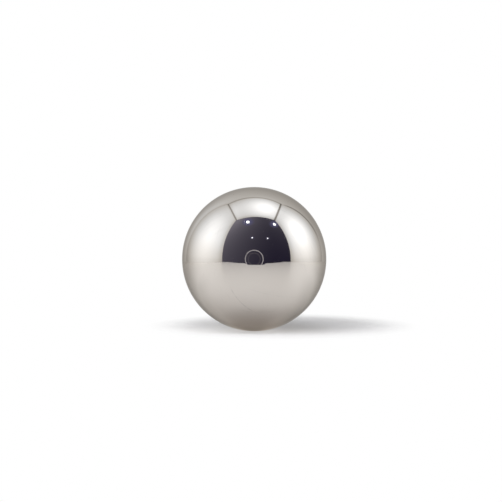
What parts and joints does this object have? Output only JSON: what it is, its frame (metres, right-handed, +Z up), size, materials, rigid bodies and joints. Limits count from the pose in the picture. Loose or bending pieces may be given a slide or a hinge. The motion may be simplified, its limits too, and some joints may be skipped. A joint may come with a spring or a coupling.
{
  "type": "steel ball",
  "caption": "Solid steel ball, ground and lapped to a true sphere with a mirror polish, for rolling, locating or use as a weight.",
  "frame": {"origin": "centre of the ball", "axes": "+Z up, away from the surface or seat that carries the ball; the ball is the same about every axis"},
  "size_m": [0.016, 0.016, 0.016],
  "materials": {
    "polished_steel": "polished"
  },
  "bodies": {
    "root": {"ball": "polished_steel"}
  },
  "joints": []
}
